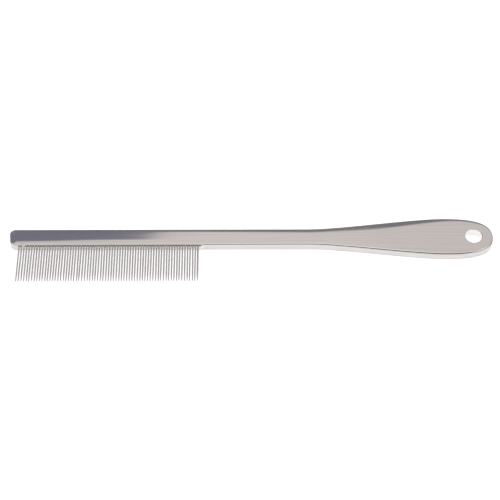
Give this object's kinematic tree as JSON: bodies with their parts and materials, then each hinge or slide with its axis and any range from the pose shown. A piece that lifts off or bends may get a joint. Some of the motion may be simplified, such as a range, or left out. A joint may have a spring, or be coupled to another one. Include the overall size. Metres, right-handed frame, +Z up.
{
  "type": "steel grooming comb",
  "caption": "Flat steel grooming comb: round pins set close together along a straight spine, with a flared paddle handle and a hang hole.",
  "frame": {"origin": "under the middle of the bounding box, on the surface that the comb lies on", "axes": "+X along the comb to the paddle tip, +Y from the pins to the spine's back, +Z up out of the flat upper face"},
  "size_m": [0.19, 0.0308, 0.0035],
  "materials": {
    "bar_steel": "polished plating with fine lengthwise polishing lines",
    "pin_steel": "bright drawn wire"
  },
  "bodies": {
    "root": {"handle_bar": "bar_steel", "pin_pair_01": "pin_steel", "pin_pair_02": "pin_steel", "pin_pair_03": "pin_steel", "pin_pair_04": "pin_steel", "pin_pair_05": "pin_steel", "pin_pair_06": "pin_steel", "pin_pair_07": "pin_steel", "pin_pair_08": "pin_steel", "pin_pair_09": "pin_steel", "pin_pair_10": "pin_steel", "pin_pair_11": "pin_steel", "pin_pair_12": "pin_steel", "pin_pair_13": "pin_steel", "pin_pair_14": "pin_steel", "pin_pair_15": "pin_steel", "pin_pair_16": "pin_steel", "pin_pair_17": "pin_steel", "pin_pair_18": "pin_steel", "pin_pair_19": "pin_steel", "pin_pair_20": "pin_steel", "pin_pair_21": "pin_steel", "pin_pair_22": "pin_steel", "pin_pair_23": "pin_steel", "pin_pair_24": "pin_steel", "pin_pair_25": "pin_steel", "pin_pair_26": "pin_steel", "pin_pair_27": "pin_steel", "pin_pair_28": "pin_steel", "pin_pair_29": "pin_steel", "pin_pair_30": "pin_steel", "pin_pair_31": "pin_steel", "pin_pair_32": "pin_steel", "pin_pair_33": "pin_steel", "pin_pair_34": "pin_steel", "pin_pair_35": "pin_steel"}
  },
  "joints": []
}
